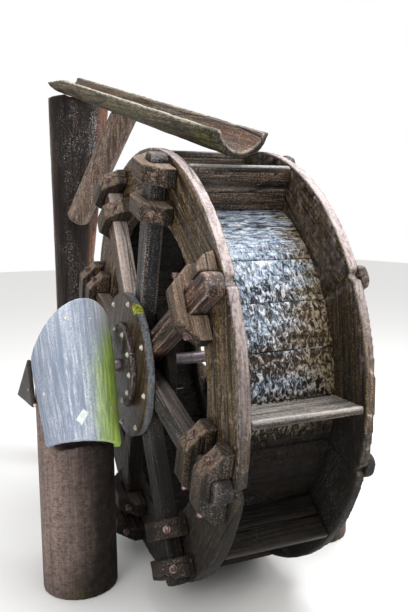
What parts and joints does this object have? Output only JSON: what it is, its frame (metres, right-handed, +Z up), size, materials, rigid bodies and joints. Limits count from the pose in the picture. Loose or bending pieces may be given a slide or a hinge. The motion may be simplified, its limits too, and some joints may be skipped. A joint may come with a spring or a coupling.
{
  "type": "water wheel",
  "caption": "Small overshot timber water wheel on two log posts with half-log bearing covers, fed by a sloping hollowed-log launder on a tall post with a brace.",
  "frame": {"origin": "centre of the footprint on the ground, under the middle of the whole object's box", "axes": "+Z up, +X along the axle to the far post, +Y from the pouring front back towards the launder post"},
  "size_m": [1.1806, 1.9949, 1.8956],
  "materials": {
    "ring_wood": "wet, mossy",
    "wet_wood": "wet",
    "bucket_wood": "wet",
    "arm_wood": "weathered",
    "saddle_wood": "weathered",
    "hub_wood": "weathered",
    "flange_wood": "weathered",
    "post_wood": "weathered",
    "bearing_wood": "weathered",
    "cover_wood": "weathered grey",
    "side_board_wood": "weathered",
    "tall_post_wood": "wet",
    "launder_wood": "mossy",
    "strut_wood": "smooth",
    "axle_steel": "dull"
  },
  "bodies": {
    "frame": {"near_post": "post_wood", "far_post": "post_wood", "near_bearing": "bearing_wood", "far_bearing": "bearing_wood", "near_bearing_cap": "bearing_wood", "far_bearing_cap": "bearing_wood", "near_cover": "cover_wood", "far_cover": "cover_wood", "near_side_board": "side_board_wood", "far_side_board": "side_board_wood", "tall_post": "tall_post_wood", "launder": "launder_wood", "strut": "strut_wood"},
    "wheel": {"near_felloes": "ring_wood", "far_felloes": "ring_wood", "sole_boards": "wet_wood", "bucket_inner_planks": "bucket_wood", "bucket_outer_planks": "bucket_wood", "near_arms": "arm_wood", "far_arms": "arm_wood", "near_outer_saddles": "saddle_wood", "near_inner_saddles": "saddle_wood", "far_inner_saddles": "saddle_wood", "near_hub_disc": "hub_wood", "far_hub_disc": "hub_wood", "near_hub_flange": "flange_wood", "far_hub_flange": "flange_wood", "near_back_plate": "hub_wood", "far_back_plate": "hub_wood", "axle": "axle_steel"}
  },
  "joints": [
    {"name": "wheel_spin", "type": "hinge", "parent": "frame", "child": "wheel", "pos_m": [0, -0.2975, 0.72], "axis": [1, 0, 0], "continuous": true}
  ]
}
